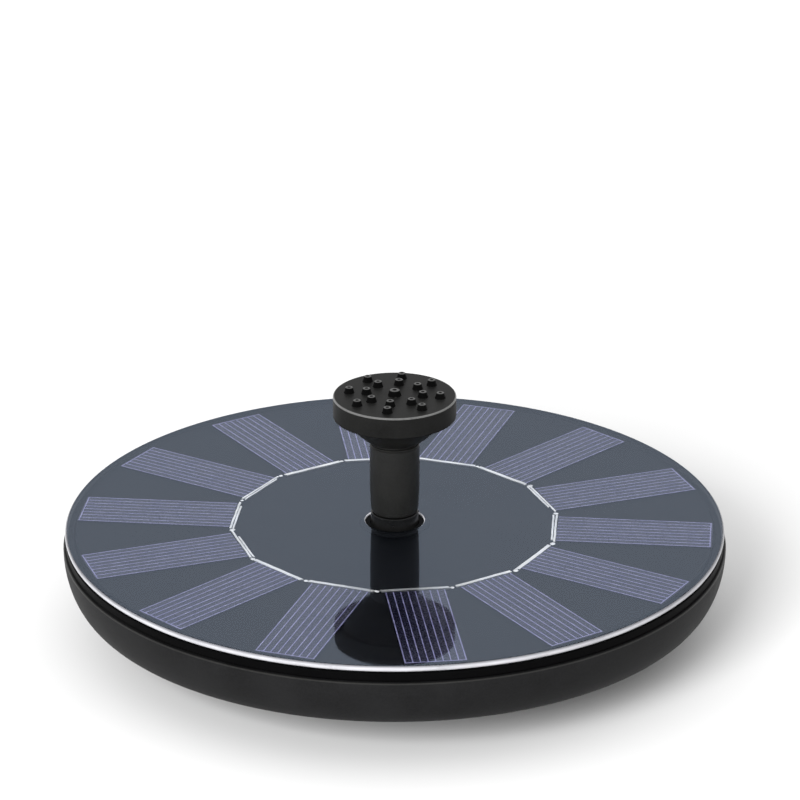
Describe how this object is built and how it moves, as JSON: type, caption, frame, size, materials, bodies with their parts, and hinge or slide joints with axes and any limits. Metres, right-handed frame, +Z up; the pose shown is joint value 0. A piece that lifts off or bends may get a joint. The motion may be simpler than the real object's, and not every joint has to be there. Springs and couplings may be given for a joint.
{
  "type": "solar fountain pump",
  "caption": "Round floating solar fountain pump: solar cells under a clear deck, a pump and strainer below, and a push-fit riser with a flat multi-jet spray head on top.",
  "frame": {"origin": "centre of the strainer's flat foot, on the surface the pump stands on, under the nozzle's axis", "axes": "+Z up along the nozzle's axis; +X from the centre away from the pump's rotor; +Y to the back"},
  "size_m": [0.16, 0.16, 0.0619],
  "materials": {
    "clear_resin": "clear, poured and polished",
    "silicon_cell": "dark blue cell with fine silver lines",
    "tinned_ribbon": "bright tinned copper, hand soldered",
    "laminate_board": "black laminate",
    "silicone_sealant": "soft satin bead",
    "gloss_black_plastic": "gloss black, moulded",
    "matte_black_plastic": "fine matte texture, moulded",
    "satin_black_plastic": "satin, moulded",
    "black_rubber": "matte rubber",
    "electrical_steel": "pressed sheet",
    "stainless_screw": "machined",
    "enamelled_copper": "wound enamelled wire",
    "ferrite": "dull sintered ferrite",
    "white_nylon": "natural nylon",
    "ceramic": "ground ceramic",
    "chip_epoxy": "moulded epoxy",
    "red_insulation": "thin soft insulation",
    "black_insulation": "thin soft insulation"
  },
  "bodies": {
    "float": {"backing_board": "laminate_board", "bus_ribbon": "tinned_ribbon", "coil_bobbin": "white_nylon", "coil_winding": "enamelled_copper", "deck_seal": "black_rubber", "deck_tray": "gloss_black_plastic", "driver_chip": "chip_epoxy", "float_shell": "matte_black_plastic", "hall_sensor": "chip_epoxy", "housing_gasket": "black_rubber", "housing_screw_1": "stainless_screw", "housing_screw_2": "stainless_screw", "housing_screw_3": "stainless_screw", "housing_screw_4": "stainless_screw", "lower_bush": "black_rubber", "lower_claw_pole": "electrical_steel", "motor_shaft": "ceramic", "outlet_pipe": "satin_black_plastic", "panel_cover": "clear_resin", "panel_lead_black": "black_insulation", "panel_lead_red": "red_insulation", "panel_sealant": "silicone_sealant", "pump_housing": "matte_black_plastic", "smoothing_capacitor": "ceramic", "solar_cell_01": "silicon_cell", "solar_cell_02": "silicon_cell", "solar_cell_03": "silicon_cell", "solar_cell_04": "silicon_cell", "solar_cell_05": "silicon_cell", "solar_cell_06": "silicon_cell", "solar_cell_07": "silicon_cell", "solar_cell_08": "silicon_cell", "solar_cell_09": "silicon_cell", "solar_cell_10": "silicon_cell", "solar_cell_11": "silicon_cell", "solar_cell_12": "silicon_cell", "solar_cell_13": "silicon_cell", "solar_cell_14": "silicon_cell", "stator_board": "laminate_board", "thrust_washer": "ceramic", "upper_bush": "black_rubber", "upper_claw_pole": "electrical_steel", "volute_cover": "matte_black_plastic"},
    "impeller": {"impeller": "matte_black_plastic", "rotor_magnet": "ferrite"},
    "strainer": {"strainer_cup": "matte_black_plastic"},
    "riser": {"riser_tube": "satin_black_plastic"},
    "head": {"spray_funnel": "satin_black_plastic", "spray_cap": "satin_black_plastic"}
  },
  "joints": [
    {"name": "impeller_spin", "type": "hinge", "parent": "float", "child": "impeller", "pos_m": [-0.0185, 0, 0.012], "axis": [0, 0, 1], "continuous": true},
    {"name": "strainer_pull", "type": "slide", "parent": "float", "child": "strainer", "axis": [0, 0, -1], "range_m": [0, 0.012]},
    {"name": "riser_lift", "type": "slide", "parent": "float", "child": "riser", "axis": [0, 0, 1], "range_m": [0, 0.008]},
    {"name": "head_lift", "type": "slide", "parent": "riser", "child": "head", "axis": [0, 0, 1], "range_m": [0, 0.008]}
  ]
}
